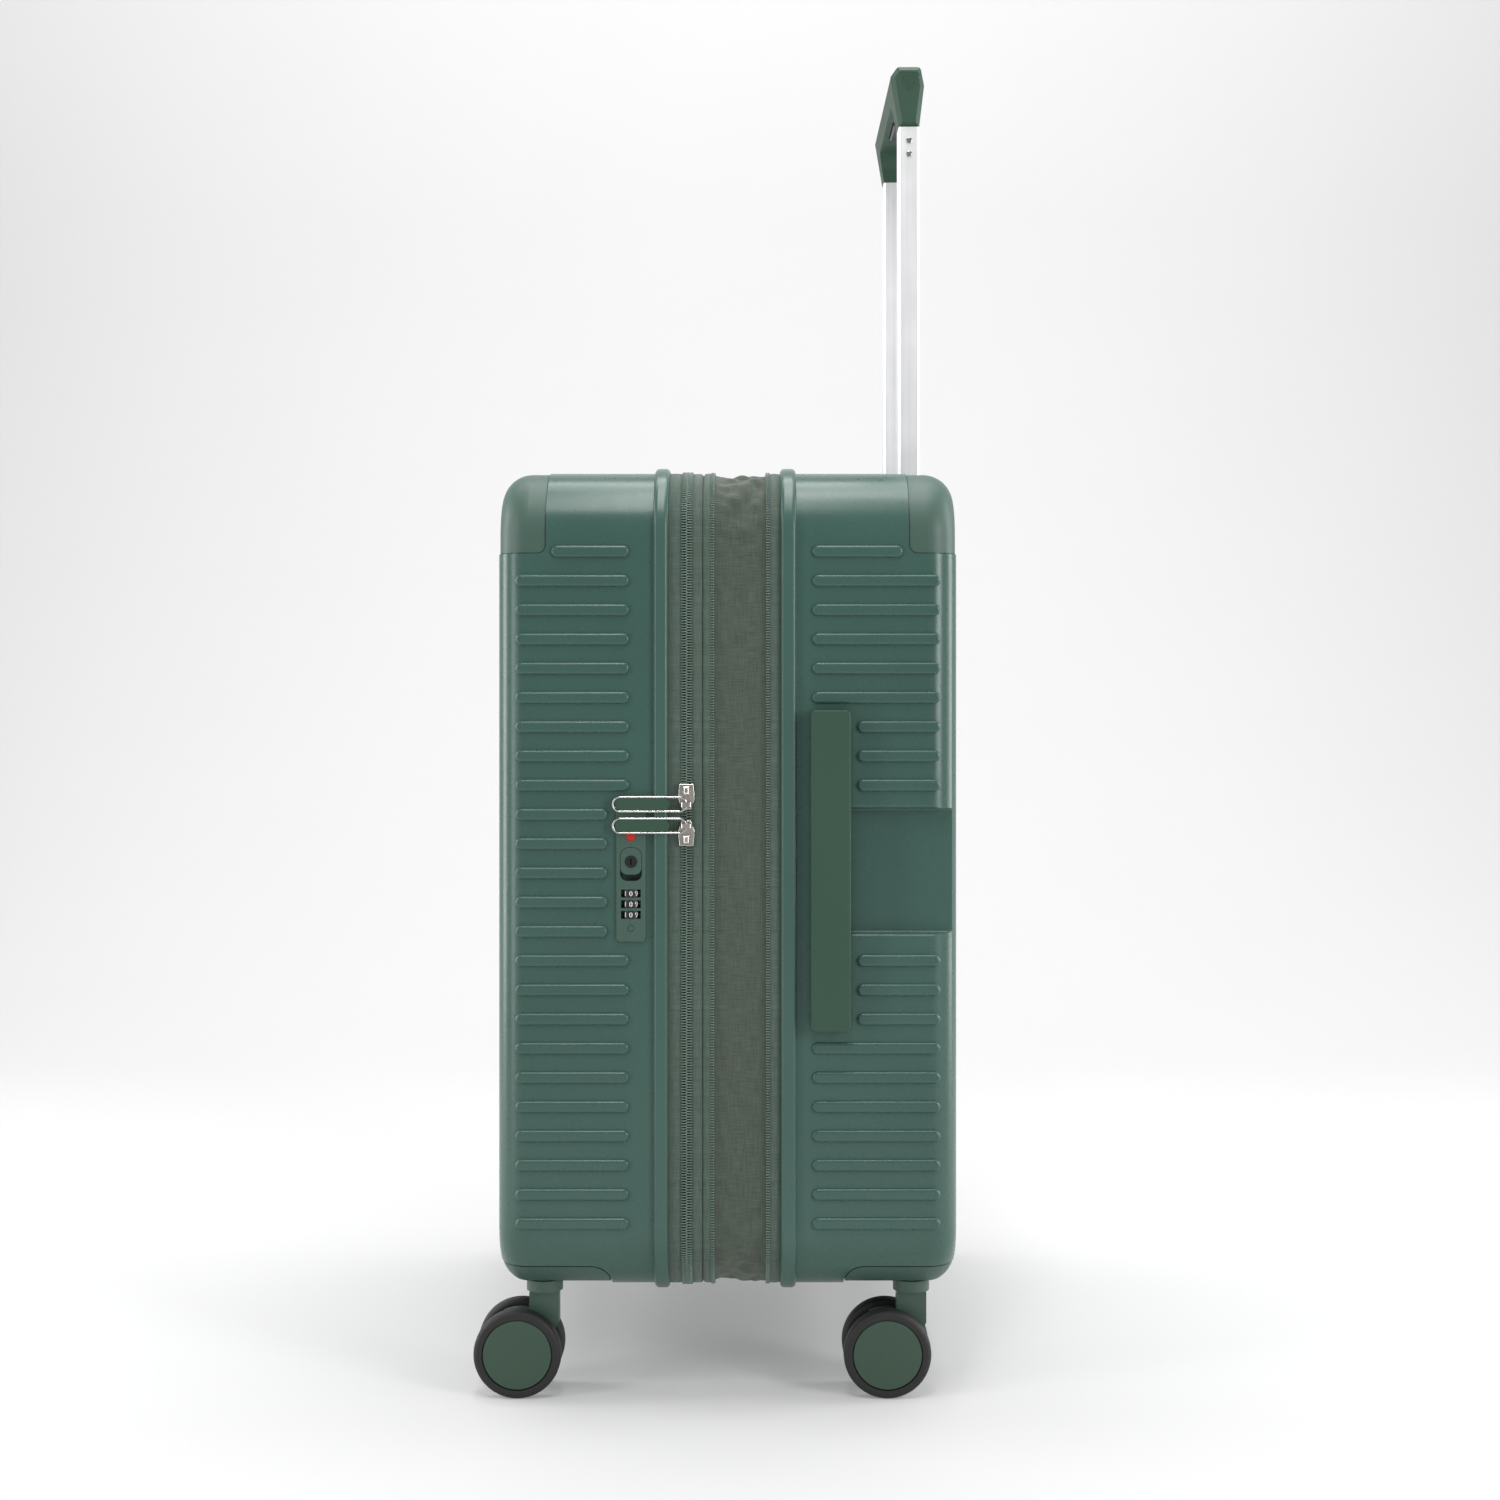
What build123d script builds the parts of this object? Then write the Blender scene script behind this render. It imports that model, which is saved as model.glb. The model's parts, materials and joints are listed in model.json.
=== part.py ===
from build123d import *
import os

# Expandable hard shell suitcase on four twin-wheel casters, in millimetres.
#
# Frame: +Z up, floor at Z = 0, X across the case (the lock and the side handle are on the +X side, the
# fabric hinge on the -X side), Y through its depth (the front shell faces -Y, the trolley is at +Y).
# The case stands expanded and zipped, with the trolley handle up and the casters trailing to the front.

# ---- driving dimensions -------------------------------------------------------------------------
WIDTH = 450.0
BODY_BOTTOM, BODY_TOP = 76.5, 660.0
FRONT_FACE, BACK_FACE = -154.0, 171.5
CORNER_R, FACE_R = 48.0, 22.0
WALL = 2.5
FIT = 0.3                                   # general clearance between neighbouring pieces

# stations through the depth
FRONT_TRIM = (-43.4, -32.8)
BACK_TRIM = (46.2, 57.4)
ZIP_Y, BAND_Y = -20.0, -9.0                 # main zipper line, and the band behind it
GUSSET = (-0.5, 36.0)                       # expansion fabric, pulled open
TRIM_PROUD = 3.5

# ribs pressed in the shells
RIB_ROWS, RIB_TOP, RIB_PITCH = 24, 601.4, 20.55
RIB_HEIGHT, RIB_PROUD = 8.6, 2.4
LOCK_ROWS = range(9, 14)
GRIP_ROWS = (6, 7, 8, 14, 15, 16)

# trolley handle
TUBE_X, TUBE_Y = 97.5, 144.3
INNER_TUBE = (24.0, 15.5)
OUTER_TUBE = (27.0, 18.5)
TUBE_WALL = 1.2
GRIP_BOTTOM, GRIP_HEIGHT = 927.7, 45.4
CUP_FLOOR = 584.0

# lock, on the +X side of the front shell
LOCK_Y, LOCK_Z = -59.0, (327.1, 425.9)
LOCK_WIDTH, LOCK_PROUD = 20.6, 2.0
DIAL_R, DIAL_PITCH, DIAL_Z = 6.6, 7.5, 353.5

# casters
CASTER_X, CASTER_INSET = 186.0, 31.0
WHEEL_R, TRAIL = 31.2, 18.0
WHEEL_INNER, WHEEL_OUTER = 9.5, 23.0        # a wheel's two faces, from the caster's middle plane
HOUSING_SIZE, HOUSING_TOP = 80.0, 96.5

# carry handles
SIDE_HANDLE_Y, SIDE_HANDLE_Z, SIDE_HANDLE_LENGTH = 81.1, 377.4, 225.0
TOP_HANDLE_Y, TOP_HANDLE_LENGTH = 90.0, 190.0
HANDLE_WIDTH, HANDLE_STROKE = 28.0, 17.5

HALF = WIDTH / 2
MID_Z = (BODY_BOTTOM + BODY_TOP) / 2
HEIGHT = BODY_TOP - BODY_BOTTOM


# ---- shared forms -------------------------------------------------------------------------------
def box(x, y, z):
    """A box from three (low, high) ranges."""
    size = [high - low for low, high in (x, y, z)]
    middle = [(high + low) / 2 for low, high in (x, y, z)]
    return Pos(*middle) * Box(*size)


def rounded_box(x, y, z, radius):
    block = box(x, y, z)
    return fillet(block.edges(), radius)


def both_sides(piece):
    """The piece and its mirror image on the -X side."""
    return [piece, mirror(piece, about=Plane.YZ)]


def case_block(inset, y, rounded=None):
    """The case's outline, inset by so much, between two Y planes. rounded names the rounded end."""
    outline = RectangleRounded(WIDTH - 2 * inset, HEIGHT - 2 * inset, CORNER_R - inset)
    plane = Plane(origin=(0, y[0], MID_Z), x_dir=(1, 0, 0), z_dir=(0, 1, 0))
    block = extrude(plane * outline, amount=y[1] - y[0])
    if rounded:
        ends = block.faces().sort_by(Axis.Y)
        face = ends[0] if rounded == "front" else ends[-1]
        block = fillet(face.edges(), FACE_R - inset)
    return block


def ring(outer_inset, inner_inset, y):
    """A band that runs round the case's outline."""
    return case_block(outer_inset, y) - case_block(inner_inset, y)


def front_block(inset, y_high=FRONT_TRIM[1]):
    return case_block(inset, (FRONT_FACE + inset, y_high), "front")


def back_block(inset, y_low=BACK_TRIM[0]):
    return case_block(inset, (y_low, BACK_FACE - inset), "back")


def cylinder_x(radius, x, y, z):
    middle = Pos((x[0] + x[1]) / 2, y, z)
    return middle * Rot(0, 90, 0) * Cylinder(radius, x[1] - x[0])


def cylinder_z(radius, z, x=0.0, y=0.0):
    return Pos(x, y, (z[0] + z[1]) / 2) * Cylinder(radius, z[1] - z[0])


def rib(plane, length):
    """One raised bar with round ends and a rounded top, lying on the plane."""
    sunk = 0.8
    bar = extrude(Pos(0, 0, -sunk) * SlotOverall(length, RIB_HEIGHT), amount=sunk + RIB_PROUD)
    bar = fillet(bar.faces().sort_by(Axis.Z)[-1].edges(), 2.3)
    return plane * bar


def side_rib(row, y):
    """A rib on the +X side, between two Y places."""
    z = RIB_TOP - RIB_PITCH * row
    plane = Plane(origin=(HALF, (y[0] + y[1]) / 2, z), x_dir=(0, 1, 0), z_dir=(1, 0, 0))
    return rib(plane, y[1] - y[0])


# ---- corners ------------------------------------------------------------------------------------
GUARD_DEPTH, GUARD_HEIGHT, GUARD_WIDTH = 35.0, 60.0, 60.0
GUARD_POCKET = 2.3                          # how deep a guard is let into the shell
BEYOND = 30.0                               # how far a cutting region runs past the case


def guard_region(face, grow):
    """The top +X corner that a guard covers; face is the case's front or back face."""
    inward = 1 if face < 0 else -1
    y = sorted((face - inward * BEYOND, face + inward * (GUARD_DEPTH + grow)))
    x = (HALF - GUARD_WIDTH - grow, HALF + BEYOND)
    z = (BODY_TOP - GUARD_HEIGHT - grow, BODY_TOP + BEYOND)
    return rounded_box(x, y, z, 6.0 + grow)


def housing_region(face, grow):
    """The bottom +X corner that a caster housing fills."""
    inward = 1 if face < 0 else -1
    y = sorted((face - inward * BEYOND, face + inward * (HOUSING_SIZE + grow)))
    x = (HALF - HOUSING_SIZE - grow, HALF + BEYOND)
    z = (BODY_BOTTOM - BEYOND, HOUSING_TOP + grow)
    return rounded_box(x, y, z, 14.0 + grow)


def caster_y(face):
    return face + CASTER_INSET if face < 0 else face - CASTER_INSET


def housing_screw_places(face):
    """Where two screws hold a caster housing, on the +X side."""
    y, reach = caster_y(face), 24.0
    return [(CASTER_X - reach, y + reach), (CASTER_X - reach, y - reach)]


def corner_guard(form, face):
    return (form(0.9) - form(GUARD_POCKET)) & guard_region(face, -0.5)


def caster_housing(form, face):
    """The bottom corner piece: a skin that follows the corner, a wheel arch and the swivel's boss."""
    y = caster_y(face)
    arch_top, floor_top, skin = 81.5, 84.5, 3.0
    region = housing_region(face, -0.9)
    body = form(0.5) & region
    hollow = (form(skin) & housing_region(face, -skin)) & box(
        (0, WIDTH), (-WIDTH, WIDTH), (floor_top, BODY_TOP))
    arch = cylinder_z(52.0, (0, arch_top), CASTER_X, y)
    body = body - hollow - arch
    body += cylinder_z(12.0, (arch_top, HOUSING_TOP - 1), CASTER_X, y)
    for sx, sy in housing_screw_places(face):
        body += cylinder_z(4.5, (arch_top, HOUSING_TOP - 0.6), sx, sy)
        body -= cylinder_z(1.9, (floor_top, HOUSING_TOP), sx, sy)
    return body - cylinder_z(4.06, (0, HOUSING_TOP), CASTER_X, y)


def with_corners(shell, form, face):
    """Cuts the shell's corners back for the guards and housings, with the wall carried round inside."""
    wall = (form(WALL - 0.2) - form(GUARD_POCKET + 1.8)) & guard_region(face, 2.0)
    pocket = (form(-1) - form(GUARD_POCKET)) & guard_region(face, 0)
    shell = shell + both_sides(wall) - both_sides(pocket)
    fill = form(0.5) & housing_region(face, WALL)
    shell = shell + both_sides(fill) - both_sides(housing_region(face, 0))
    for x, y in housing_screw_places(face):
        shell -= both_sides(cylinder_z(2.1, (0, HOUSING_TOP + 2 * WALL), x, y))
    return shell


def housing_screw(x, y):
    """A screw from inside the case, with its head on the shell's raised corner."""
    seat = HOUSING_TOP + WALL
    return cylinder_z(1.9, (seat - 13, seat), x, y) + cylinder_z(3.6, (seat, seat + 2.2), x, y)


# ---- shells -------------------------------------------------------------------------------------
FRONT_RIB, BACK_RIB = (-140.4, -60.1), (68.2, 158.6)
LOCK_RIB_END, TOP_RIB_START, TOP_RIB_END, GRIP_RIB_START = -75.3, -115.4, 132.5, 99.8
RECESS_Z, RECESS_START, RECESS_DEPTH, RECESS_LIP = (332.6, 420.6), 84.0, 9.3, 3.0


def front_shell():
    edge = (FRONT_TRIM[0] + FRONT_TRIM[1]) / 2
    shell = front_block(0, edge) - front_block(WALL, edge + 1)
    shell = with_corners(shell, lambda inset: front_block(inset, edge), FRONT_FACE)
    ribs = []
    for row in range(RIB_ROWS):
        start = TOP_RIB_START if row == 0 else FRONT_RIB[0]
        end = LOCK_RIB_END if row in LOCK_ROWS else FRONT_RIB[1]
        ribs.append(side_rib(row, (start, end)))
        ribs.append(mirror(side_rib(row, (start, FRONT_RIB[1])), about=Plane.YZ))
    shell = shell + ribs
    lock_hole = box((HALF - 10, HALF + 10), (LOCK_Y - 8, LOCK_Y + 8), (LOCK_Z[0] + 4, LOCK_Z[1] - 4))
    return shell - lock_hole


def recess_region(grow):
    """The hand recess behind the side handle: a flat step that runs out through the back corner."""
    return rounded_box((HALF - RECESS_DEPTH - grow, HALF + BEYOND), (RECESS_START - grow, BACK_FACE + BEYOND),
                       (RECESS_Z[0] - grow, RECESS_Z[1] + grow), 2.0 + grow)


def recess_cutter():
    """What the recess takes away, with a rounded lip where its top and bottom meet the side."""
    lip_y = (RECESS_START - RECESS_LIP, BACK_FACE + BEYOND)
    lip_z = (RECESS_Z[0] - RECESS_LIP, RECESS_Z[1] + RECESS_LIP)
    cutter = recess_region(0) + box((HALF, HALF + BEYOND), lip_y, lip_z)
    corners = cutter.edges().filter_by(Axis.Y).filter_by_position(Axis.X, HALF - 0.1, HALF + 0.1)
    corners = corners.filter_by_position(Axis.Z, RECESS_Z[0] - 0.1, RECESS_Z[1] + 0.1)
    return fillet(corners, RECESS_LIP - 0.2)


def top_handle_tray(grow, depth):
    half_length, half_width = TOP_HANDLE_LENGTH / 2 + 7 + grow, HANDLE_WIDTH / 2 + 9 + grow
    return box((-half_length, half_length), (TOP_HANDLE_Y - half_width, TOP_HANDLE_Y + half_width),
               (BODY_TOP - depth, BODY_TOP + 1))


def bezel_region(grow):
    """The space of the trolley handle's cup in the top of the back shell."""
    return rounded_box((-118 - grow, 118 + grow), (125.8 - grow, 160.3 + grow),
                       (CUP_FLOOR - 3, BODY_TOP + BEYOND), 6.0 + grow)


def side_post_places():
    reach = SIDE_HANDLE_LENGTH / 2 - 15
    return [SIDE_HANDLE_Z - reach, SIDE_HANDLE_Z + reach]


def top_post_places():
    reach = TOP_HANDLE_LENGTH / 2 - 15
    return [-reach, reach]


def back_shell():
    edge = (BACK_TRIM[0] + BACK_TRIM[1]) / 2

    def form(inset):
        return back_block(inset, edge)

    shell = form(0) - back_block(WALL, edge - 1)
    shell = with_corners(shell, form, BACK_FACE)
    shell = shell + (recess_region(WALL) & form(0.5)) - recess_cutter()
    shell = shell + (top_handle_tray(WALL, 24.5) & form(0.5)) - top_handle_tray(0, 22.0)
    ribs = []
    for row in range(RIB_ROWS):
        start = GRIP_RIB_START if row in GRIP_ROWS else BACK_RIB[0]
        end = TOP_RIB_END if row == 0 else BACK_RIB[1]
        if row not in LOCK_ROWS:
            ribs.append(side_rib(row, (start, end)))
        ribs.append(mirror(side_rib(row, (BACK_RIB[0], end)), about=Plane.YZ))
    shell = shell + ribs - bezel_region(0.2)
    for z in side_post_places():
        shell -= box((HALF - 12, HALF + 5), (SIDE_HANDLE_Y - 8, SIDE_HANDLE_Y + 8), (z - 6, z + 6))
    for x in top_post_places():
        shell -= box((x - 6, x + 6), (TOP_HANDLE_Y - 8, TOP_HANDLE_Y + 8), (BODY_TOP - 30, BODY_TOP - 20))
    return shell


def trim(y, edge, shell_side):
    """The rim frame that grips a shell's edge; shell_side is the range of Y that the shell fills."""
    frame = case_block(-TRIM_PROUD, y)
    outer = frame.faces().sort_by(Axis.Y)
    frame = fillet(outer[0].edges() + outer[-1].edges(), 3.0)
    frame -= case_block(0, shell_side)
    return frame - case_block(WALL, (y[0] - 1, y[1] + 1))


def front_trim():
    edge = (FRONT_TRIM[0] + FRONT_TRIM[1]) / 2
    return trim(FRONT_TRIM, edge, (FRONT_TRIM[0] - 1, edge))


def back_trim():
    edge = (BACK_TRIM[0] + BACK_TRIM[1]) / 2
    return trim(BACK_TRIM, edge, (edge, BACK_TRIM[1] + 1))


# ---- zippers and cloth --------------------------------------------------------------------------
TAPE = (0.6, 1.8)                           # insets of a zipper tape's two faces
COIL = (-1.0, 2.2)
HINGE_Z = (150.0, 590.0)                    # the stretch of the -X side that the fabric hinge takes


def hinge_gap(y):
    return box((-HALF - 10, -HALF + 10), y, HINGE_Z)


def zip_half(tape_y, coil_y, gap=True):
    """One half of a zipper: its tape and, as a second band, its row of teeth."""
    half = ring(*TAPE, tape_y) + ring(*COIL, coil_y)
    if gap:
        half -= hinge_gap((min(tape_y[0], coil_y[0]) - 1, max(tape_y[1], coil_y[1]) + 1))
    return half


def main_zip_front_half():
    return zip_half((FRONT_TRIM[1], ZIP_Y - 4.3), (ZIP_Y - 4.3, ZIP_Y - 0.15))


def main_zip_rear_half():
    return zip_half((ZIP_Y + 4.3, BAND_Y - 0.6), (ZIP_Y + 0.15, ZIP_Y + 4.3))


def expansion_zip_rear_half():
    return zip_half((GUSSET[1] + 2, BACK_TRIM[0]), (GUSSET[1], GUSSET[1] + 2), False)


def zipper_band():
    """The strip to which the main zipper is sewn, with the expansion zipper's front half along its edge."""
    strip = ring(TAPE[1] + 0.1, TAPE[1] + 1.9, (ZIP_Y + 5.5, GUSSET[0] - 1))
    return strip + zip_half((BAND_Y + 0.6, GUSSET[0] - 2), (GUSSET[0] - 2, GUSSET[0]), False)


def hinge_strip():
    strip = ring(TAPE[0], TAPE[1], (FRONT_TRIM[1] + 0.1, BAND_Y - 0.6))
    low, high = HINGE_Z[0] + 0.2, HINGE_Z[1] - 0.2
    return strip & box((-HALF - 10, -HALF + 10), (-WIDTH, WIDTH), (low, high))


def expansion_gusset():
    return ring(1.6, 3.0, GUSSET)


# ---- linings and straps -------------------------------------------------------------------------
LINING = 1.0
FALSE_BACK = 124.0                          # the back lining's flat panel, in front of the trolley tubes
LOCK_BOX = 20.0                             # how deep the lock's case reaches inside the side wall


def front_obstacles(grow):
    lock = box((HALF - LOCK_BOX - grow, HALF), (LOCK_Y - 11 - grow, LOCK_Y + 11 + grow),
               (LOCK_Z[0] - grow, LOCK_Z[1] + grow))
    return both_sides(housing_region(FRONT_FACE, WALL + 3 + grow)) + [lock]


def back_obstacles(grow):
    found = both_sides(housing_region(BACK_FACE, WALL + 3 + grow))
    reach = TOP_HANDLE_LENGTH / 2 + 11 + grow
    found.append(box((-reach, reach), (TOP_HANDLE_Y - 27 - grow, FALSE_BACK + 1),
                     (BODY_TOP - 58 - grow, BODY_TOP)))
    for z in side_post_places():
        found.append(box((HALF - 36 - grow, HALF), (SIDE_HANDLE_Y - 12 - grow, SIDE_HANDLE_Y + 12 + grow),
                         (z - 10 - grow, z + 10 + grow)))
    found.append(box((HALF - 14 - grow, HALF), (RECESS_START - 4 - grow, FALSE_BACK + 1),
                     (RECESS_Z[0] - 4 - grow, RECESS_Z[1] + 4 + grow)))
    return found


def front_lining():
    edge = FRONT_TRIM[0]
    gap = WALL + 2.0
    outer = front_block(gap, edge) - front_obstacles(0)
    inner = front_block(gap + LINING, edge + 1) - front_obstacles(LINING)
    return outer - inner


def back_lining():
    gap, y = WALL + 2.0, (BACK_TRIM[1], FALSE_BACK)
    outer = case_block(gap, y) - back_obstacles(0)
    inner = case_block(gap + LINING, (y[0] - 1, y[1] - LINING)) - back_obstacles(LINING)
    return outer - inner


STRAP_Z, STRAP_Y, STRAP_WIDTH = (250.0, 500.0), 60.5, 25.0


def packing_straps():
    """Two elastic straps across the back half, sewn to its side linings."""
    reach = HALF - WALL - 4.0
    straps = []
    for z in STRAP_Z:
        across = (z - STRAP_WIDTH / 2, z + STRAP_WIDTH / 2)
        straps.append(box((30, reach), (STRAP_Y, STRAP_Y + 1.2), across))
        straps.append(box((-reach, -30), (STRAP_Y, STRAP_Y + 1.2), across))
    return straps


def strap_buckles():
    found = []
    for z in STRAP_Z:
        buckle = rounded_box((-29.8, 29.8), (STRAP_Y - 2.5, STRAP_Y + 4), (z - 17, z + 17), 2.0)
        slot = box((14, 20), (0, 100), (z - 13, z + 13))
        found.append(buckle - both_sides(slot))
    return found


# ---- trolley ------------------------------------------------------------------------------------
def tube(size, wall, z):
    """The +X tube of a pair, with its four long edges broken."""
    length = z[1] - z[0]
    middle = Pos(TUBE_X, TUBE_Y, z[0] + length / 2)
    outer = middle * Box(size[0], size[1], length)
    outer = chamfer(outer.edges().filter_by(Axis.Z), 1.3)
    return outer - middle * Box(size[0] - 2 * wall, size[1] - 2 * wall, length + 2)


def handle_bezel():
    """The cup in the top that the grip drops into, with guide holes for the two inner tubes."""
    cup = bezel_region(0) & back_block(0.6)
    hollow = rounded_box((-115.5, 115.5), (128.0, 158.2), (CUP_FLOOR, BODY_TOP + BEYOND), 4.0)
    cup -= hollow
    wide, deep = INNER_TUBE[0] / 2 + FIT, INNER_TUBE[1] / 2 + FIT
    for x in (TUBE_X, -TUBE_X):
        cup += box((x - 15, x + 15), (TUBE_Y - 11, TUBE_Y + 11), (CUP_FLOOR - 3, CUP_FLOOR + 1.5))
        cup -= box((x - wide, x + wide), (TUBE_Y - deep, TUBE_Y + deep), (CUP_FLOOR - 10, CUP_FLOOR + 10))
    return cup


def outer_tubes():
    return both_sides(tube(OUTER_TUBE, TUBE_WALL, (BODY_BOTTOM + WALL + 3, CUP_FLOOR - 3)))


INNER_LENGTH = 430.0


def inner_tubes():
    return both_sides(tube(INNER_TUBE, TUBE_WALL, (GRIP_BOTTOM - INNER_LENGTH, GRIP_BOTTOM)))


def grip():
    """The U-shaped hand grip: its side outline, run across, with the hand gap cut out below."""
    half, arm = TUBE_X + INNER_TUBE[0] / 2 + 1.5, 84.0
    base = INNER_TUBE[1] / 2
    side = [(-base, 0), (-14.1, 37.5), (-8.6, GRIP_HEIGHT), (8.8, GRIP_HEIGHT), (11.5, 31.0), (base, 0)]
    plane = Plane(origin=(-half, TUBE_Y, GRIP_BOTTOM), x_dir=(0, 1, 0), z_dir=(1, 0, 0))
    body = extrude(plane * make_face(Polyline(*side, close=True)), amount=2 * half)
    ends = body.faces().filter_by(Axis.X)
    body = chamfer(ends[0].edges() + ends[1].edges(), 3.2)
    rims = body.edges().filter_by(Axis.X)
    body = fillet([rim for rim in rims if rim.center().Z > GRIP_BOTTOM + 10], 3.6)
    gap_z = (GRIP_BOTTOM - 30, GRIP_BOTTOM + 23.0)
    gap = box((-arm, arm), (0, 300), gap_z)
    gap = fillet(gap.edges().filter_by(Axis.Y), 14.0)
    body -= gap
    for x in (TUBE_X, -TUBE_X):
        body -= box((x - 10, x + 10), (TUBE_Y - 5, TUBE_Y + 5), (GRIP_BOTTOM - 1, GRIP_BOTTOM + 12))
    pocket = box((-26, 26), (TUBE_Y - 7, TUBE_Y + 5), (GRIP_BOTTOM + 20, GRIP_BOTTOM + 36))
    return body - pocket


def grip_plugs():
    """What holds the grip in its two tubes: a plug in each tube and two rivets through its side."""
    found = []
    wide = (INNER_TUBE[0] / 2 - TUBE_WALL - 0.1, INNER_TUBE[1] / 2 - TUBE_WALL - 0.1)
    for x in (TUBE_X, -TUBE_X):
        plug = box((x - wide[0], x + wide[0]), (TUBE_Y - wide[1], TUBE_Y + wide[1]),
                   (GRIP_BOTTOM - 30, GRIP_BOTTOM))
        plug += box((x - 9.9, x + 9.9), (TUBE_Y - 4.9, TUBE_Y + 4.9), (GRIP_BOTTOM, GRIP_BOTTOM + 11.5))
        found.append(plug)
    return found


def grip_rivets():
    face = TUBE_X + INNER_TUBE[0] / 2
    heads = []
    for z in (GRIP_BOTTOM - 10.4, GRIP_BOTTOM - 20.6):
        head = cylinder_x(2.4, (face, face + 0.9), TUBE_Y, z)
        head = fillet(head.faces().sort_by(Axis.X)[-1].edges(), 0.6)
        heads += both_sides(head)
    return heads


def release_button():
    z = GRIP_BOTTOM
    return rounded_box((-25.5, 25.5), (TUBE_Y - 6.5, TUBE_Y + 4.5), (z + 20.5, z + 31.5), 1.5)


# ---- carry handles ------------------------------------------------------------------------------
SOCKET_DEPTH = 12.0


def carry_handle(length, rise, thick):
    """A bar handle, flat along X, with its top at Z = rise and a guide post below each end."""
    half = length / 2
    bar = box((-half, half), (-HANDLE_WIDTH / 2, HANDLE_WIDTH / 2), (rise - thick, rise))
    for x in (half - 14, -half + 14):
        bar += box((x - 14, x + 14), (-HANDLE_WIDTH / 2, HANDLE_WIDTH / 2), (2.2, rise - 1))
    corners = bar.edges().filter_by(Axis.Z).group_by(SortBy.LENGTH)[-1]
    bar = fillet(corners, 3.5)
    bar = fillet(bar.faces().sort_by(Axis.Z)[-1].edges(), 1.2)
    for x in (half - 15, -half + 15):
        bar += box((x - 4, x + 4), (-5, 5), (-SOCKET_DEPTH - HANDLE_STROKE - 3.0, 3))
        bar += box((x - 5.5, x + 5.5), (-6.5, 6.5),
                   (-SOCKET_DEPTH - HANDLE_STROKE - 3.0, -SOCKET_DEPTH - HANDLE_STROKE - 0.3))
    return bar


def handle_socket():
    """The guide that a handle's post slides in: a flange outside the wall and a sleeve through it."""
    sleeve = box((-5.8, 5.8), (-7.8, 7.8), (-SOCKET_DEPTH, 0))
    flange = rounded_box((-12, 12), (-12, 12), (0, 1.8), 0.6)
    return sleeve + flange - box((-4.2, 4.2), (-5.2, 5.2), (-20, 10))


def on_side(piece):
    """Places a piece made on the XY plane on the case's +X side, its X along Z."""
    plane = Plane(origin=(HALF, SIDE_HANDLE_Y, SIDE_HANDLE_Z), x_dir=(0, 0, 1), z_dir=(1, 0, 0))
    return plane * piece


def on_top(piece):
    """Places a piece made on the XY plane on the floor of the tray in the case's top."""
    return Pos(0, TOP_HANDLE_Y, BODY_TOP - 22.0) * piece


def side_handle():
    return on_side(carry_handle(SIDE_HANDLE_LENGTH, 12.5, 6.5))


def top_handle():
    return on_top(carry_handle(TOP_HANDLE_LENGTH, 20.5, 6.5))


def handle_sockets():
    found = []
    for z in side_post_places():
        found.append(on_side(Pos(z - SIDE_HANDLE_Z, 0, 0) * handle_socket()))
    for x in top_post_places():
        found.append(on_top(Pos(x, 0, 0) * handle_socket()))
    return found


# ---- lock ---------------------------------------------------------------------------------------
BUTTON_Z, BUTTON_STROKE, BUTTON_HALF = (374.3, 393.2), 4.2, 7.4
KEY_Z, RESET_Z, INDICATOR_Z = 383.3, 336.6, 401.5
DIAL_X, DIAL_SHAFT_R = HALF + LOCK_PROUD - DIAL_R + 0.4, 1.5


def dial_places():
    return {"dial_top": DIAL_Z + DIAL_PITCH, "dial_middle": DIAL_Z, "dial_bottom": DIAL_Z - DIAL_PITCH}


def lock_plate():
    half = LOCK_WIDTH / 2
    plate = box((HALF, HALF + LOCK_PROUD), (LOCK_Y - half, LOCK_Y + half), LOCK_Z)
    plate = fillet(plate.edges().filter_by(Axis.X), 3.0)
    plate = fillet(plate.faces().sort_by(Axis.X)[-1].edges(), 0.7)
    plate += box((HALF - 16, HALF), (LOCK_Y - 7.8, LOCK_Y + 7.8), (LOCK_Z[0] + 4.2, LOCK_Z[1] - 4.2))
    pocket_z = (BUTTON_Z[0] - BUTTON_STROKE - 0.3, BUTTON_Z[1] + 0.3)
    pocket = box((HALF - 6, HALF + 5), (LOCK_Y - BUTTON_HALF - 0.3, LOCK_Y + BUTTON_HALF + 0.3), pocket_z)
    pocket = fillet(pocket.edges().filter_by(Axis.X).group_by(Axis.Z)[-1], 6.2)
    plate -= fillet(pocket.edges().filter_by(Axis.X).group_by(Axis.Z)[0], 4.9)
    for z in dial_places().values():
        plate -= box((HALF - 14, HALF + 5), (LOCK_Y - 6.9, LOCK_Y + 6.9), (z - 2.8, z + 2.8))
    plate += cylinder_z(DIAL_SHAFT_R, (DIAL_Z - 12, DIAL_Z + 12), DIAL_X, LOCK_Y)
    plate -= cylinder_x(2.4, (HALF - 7, HALF + 5), LOCK_Y, RESET_Z)
    return plate - cylinder_x(3.6, (HALF + 0.8, HALF + 5), LOCK_Y, INDICATOR_Z)


def lock_indicator():
    return cylinder_x(3.4, (HALF + 0.8, HALF + LOCK_PROUD + 0.2), LOCK_Y, INDICATOR_Z)


def lock_button():
    across = (LOCK_Y - BUTTON_HALF, LOCK_Y + BUTTON_HALF)
    button = box((HALF - 5.8, HALF + LOCK_PROUD - 0.2), across, BUTTON_Z)
    corners = button.edges().filter_by(Axis.X).group_by(Axis.Z)
    button = fillet(corners[-1], 6.0)
    button = fillet(button.edges().filter_by(Axis.X).group_by(Axis.Z)[0], 4.8)
    return button - cylinder_x(4.3, (HALF - 20, HALF + 20), LOCK_Y, KEY_Z)


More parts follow.
